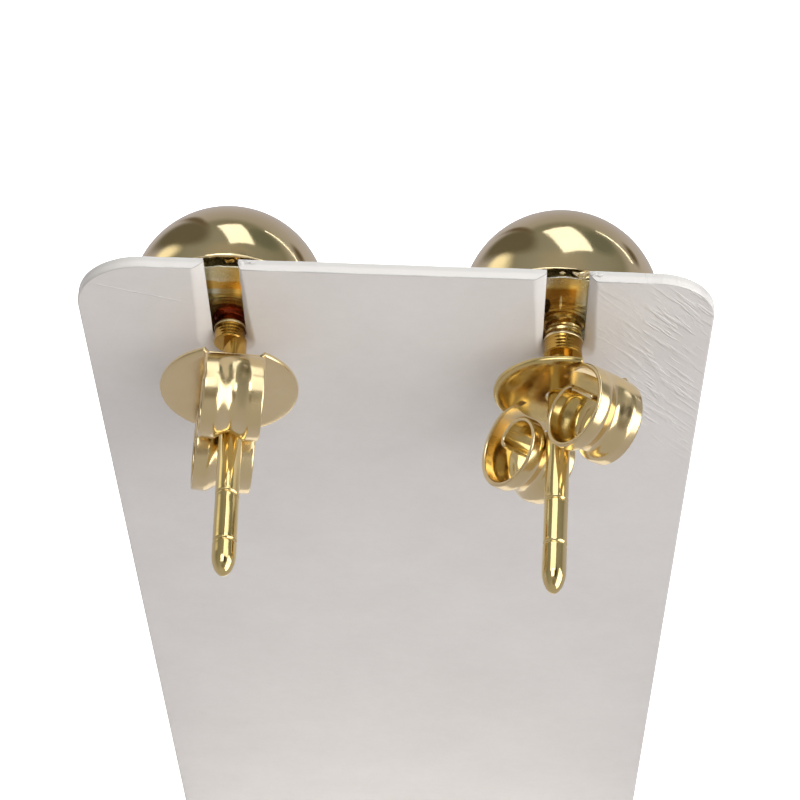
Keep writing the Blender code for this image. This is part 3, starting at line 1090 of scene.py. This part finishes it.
def area_light(name, place, distance, size, brightness, spin=0.0, mirrored=True):
    """A soft light aimed at the earrings, placed by azimuth and elevation and sized in degrees."""
    width, height = [2.0 * distance * math.tan(math.radians(angle / 2.0)) for angle in size]
    lamp = rectangle_light(name, width, height, brightness)
    towards = direction(*place)
    turn = towards.to_track_quat("Z", "Y") @ Matrix.Rotation(math.radians(spin), 3, "Z").to_quaternion()
    lamp.matrix_world = Matrix.LocRotScale(EARRINGS_MIDDLE + towards * distance, turn, None)
    lamp.visible_glossy = mirrored
    return lamp


def build_reflector():
    """A small bright card level above the studs, which shows mostly as a streak along the posts."""
    lamp = rectangle_light("reflector", *REFLECTOR_SIZE, 1.25)
    lamp.location = REFLECTOR_PLACE
    lamp.visible_diffuse = False


# Heights from straight down (0) to straight up (1) with the room's tone there
WORLD_SHADES = [
    (0.0, (0.50, 0.48, 0.50)),
    (0.36, (0.45, 0.43, 0.48)),
    (0.58, (0.37, 0.355, 0.355)),
    (0.66, (0.22, 0.215, 0.18)),
    (1.0, (0.30, 0.30, 0.28)),
]

# Darker and lighter soft areas of the room: azimuth, elevation, half width, half height, softness
# and tone
WORLD_PANELS = [
    (180.0, 15.0, 62.0, 52.0, 0.35, (0.44, 0.42, 0.39)),
    (180.0, 60.0, 17.0, 13.0, 0.5, (0.24, 0.21, 0.17)),
    (0.0, 68.0, 20.0, 9.0, 0.6, (0.34, 0.31, 0.26)),
    (35.0, 13.0, 13.0, 31.0, 0.28, (0.130, 0.118, 0.088)),
    (21.5, 2.0, 2.2, 19.0, 0.6, (0.13, 0.10, 0.07)),
    (-30.0, 29.0, 14.0, 13.0, 0.35, (0.15, 0.16, 0.135)),
    (-40.0, -4.0, 7.0, 5.0, 0.6, (0.12, 0.09, 0.06)),
    (54.0, 13.0, 6.0, 13.0, 0.6, (1.10, 1.02, 0.80)),
    (-90.0, 74.0, 16.0, 14.0, 0.4, (0.08, 0.07, 0.05)),
]

# The bright window in the room: its corners as azimuth and elevation, in order
WINDOW_CORNERS = ((14.5, 27.0), (-5.5, 22.5), (-36.0, 45.0), (-2.0, 61.0))
WINDOW_TONE = (1.5, 1.5, 1.5)


def window_mask(paint, where):
    """1 inside the four-sided window and 0 outside, with slightly soft edges."""
    corners = [direction(*corner) for corner in WINDOW_CORNERS]
    middle = sum(corners, Vector()).normalized()
    sides = []
    for corner, following in zip(corners, corners[1:] + corners[:1]):
        inward = corner.cross(following).normalized()
        if inward.dot(middle) < 0.0:
            inward.negate()
        sides.append(paint.span(paint.along(where, inward), -0.012, 0.012))
    return paint.product(*sides)


def room_panel(paint, where, shade, panel):
    """The room's tone with one soft area laid over it."""
    azimuth, elevation, half_width, half_height, softness, colour = panel
    middle = direction(azimuth, elevation)
    side = Z_AXIS.cross(middle).normalized()
    across = paint.along(where, side / math.sin(math.radians(half_width)))
    up = paint.along(where, middle.cross(side) / math.sin(math.radians(half_height)))
    behind = paint.span(paint.along(where, middle), -0.2, 0.0, 9.0, 0.0)
    reach = paint.length(across, up, behind)
    share = paint.span(reach, 1.0 - softness, 1.0 + softness, 1.0, 0.0, "SMOOTHSTEP")
    return paint.mix(share, shade, colour)


def build_world():
    """The room, painted by direction; the camera itself sees plain white in its place."""
    world = bpy.data.worlds.new("studio")
    bpy.context.scene.world = world
    world.use_nodes = True
    world.cycles.sampling_method = "NONE"
    nodes = world.node_tree.nodes
    paint = Paint(world.node_tree)
    where = paint.where("Generated")
    shade = paint.ramp(paint.span(paint.along(where, Z_AXIS), -1.0, 1.0), WORLD_SHADES)
    for panel in WORLD_PANELS:
        shade = room_panel(paint, where, shade, panel)
    room = nodes["Background"]
    plain = nodes.new("ShaderNodeBackground")
    seen = nodes.new("ShaderNodeLightPath").outputs["Is Camera Ray"]
    either = nodes.new("ShaderNodeMixShader")
    paint.feed(room, {"Color": paint.mix(window_mask(paint, where), shade, WINDOW_TONE)})
    paint.feed(plain, {"Color": (1.0, 1.0, 1.0, 1.0)})
    paint.feed(either, {"Fac": seen, 1: room.outputs["Background"], 2: plain.outputs["Background"]})
    paint.feed(nodes["World Output"], {"Surface": either.outputs["Shader"]})


# Camera in the card's frame: its place in millimetres, and its right, upward and backward axes
CAMERA_PLACE = (4.0452, 78.6968, 54.6760)
CAMERA_AXES = (
    Vector((0.99867, -0.01310, -0.04993)),
    Vector((-0.03543, 0.52960, -0.84751)),
    Vector((0.03755, 0.84815, 0.52843)),
)


def build_camera():
    data = bpy.data.cameras.new("camera")
    camera = bpy.data.objects.new("camera", data)
    bpy.context.scene.collection.objects.link(camera)
    bpy.context.scene.camera = camera
    data.sensor_width = 36.0
    data.lens = 112.5
    data.clip_start = 0.001
    data.clip_end = 20.0
    local = Matrix(CAMERA_AXES).transposed().to_4x4()
    local.translation = CAMERA_PLACE
    placed = card_frame() @ local
    placed.translation = placed.translation * MM
    camera.matrix_world = placed


stud_gold = gold_material("polished_gold", (0.84, 0.70, 0.42), (0.92, 0.78, 0.50), 0.07, 0.06)
clutch_gold = gold_material("clutch_gold", (0.80, 0.64, 0.36), (0.90, 0.74, 0.45), 0.16, 0.10)
satin_gold = gold_material("satin_gold", (0.82, 0.70, 0.46), (0.92, 0.80, 0.56), 0.26, 0.12)
# Deep amber gold on the collars: painted shade and reflections from the gold round them
collar_shade_gold = {
    "left": gold_material("left_collar_gold", (0.44, 0.24, 0.05), (0.78, 0.54, 0.17), 0.11, 0.10),
    "right": gold_material("right_collar_gold", (0.30, 0.15, 0.025), (0.62, 0.40, 0.10), 0.12, 0.10),
}
# Deeper gold for the rolls' inner sides and the right disc: painted shade and reflections between the rolls
roll_shade_gold = gold_material("roll_shade_gold", (0.62, 0.46, 0.17), (0.78, 0.62, 0.29), 0.15, 0.10)
post_gold = gold_material("post_gold", (0.80, 0.63, 0.29), (0.90, 0.74, 0.38), 0.07, 0.07)
solder = melted_material("dark_solder", (5200.0, 4.0, 0.7), SOLDER_TONES, (0.65, 0.25), (0.8, 0.00008), 0.9)
build_stand([plastic_material()])
for side, tones in NECK_SHADE_TONES.items():
    # The neck's material paints shade and reflections between collar and plate
    neck = melted_material(f"{side}_neck_shade_gold", (1800.0, 3.0, 0.6), tones, (0.30, 0.14), (0.3, 0.00004), 1.0)
    own = [neck, collar_shade_gold[side], post_gold, plate_material(side)]
    build_stud(side, [stud_gold, solder, satin_gold, *own])
    build_clutch(side, [clutch_gold, roll_shade_gold])
build_floor()
build_world()
area_light("strip", (-35.5, 9.5), 0.6, (30.0, 1.3), 2.6, spin=24.0)
area_light("top", (90.0, 80.0), 0.6, (22.0, 26.0), 2.4)
key = area_light("key", (-109.0, 26.0), 0.6, (60.0, 46.0), 2.4)
key.data.color = (1.0, 0.97, 0.88)
key.visible_diffuse = False
area_light("main", (-135.0, 54.0), 0.3, (56.0, 50.0), 3.6, mirrored=False)
area_light("side_fill", (-100.0, 28.0), 0.3, (60.0, 46.0), 1.9, mirrored=False)
area_light("front_fill", (25.0, 15.0), 0.7, (60.0, 50.0), 2.0, mirrored=False)
area_light("overhead", (0.0, 89.0), 0.7, (40.0, 40.0), 0.4, mirrored=False)
build_reflector()
build_camera()
bpy.context.scene.view_settings.view_transform = "Standard"
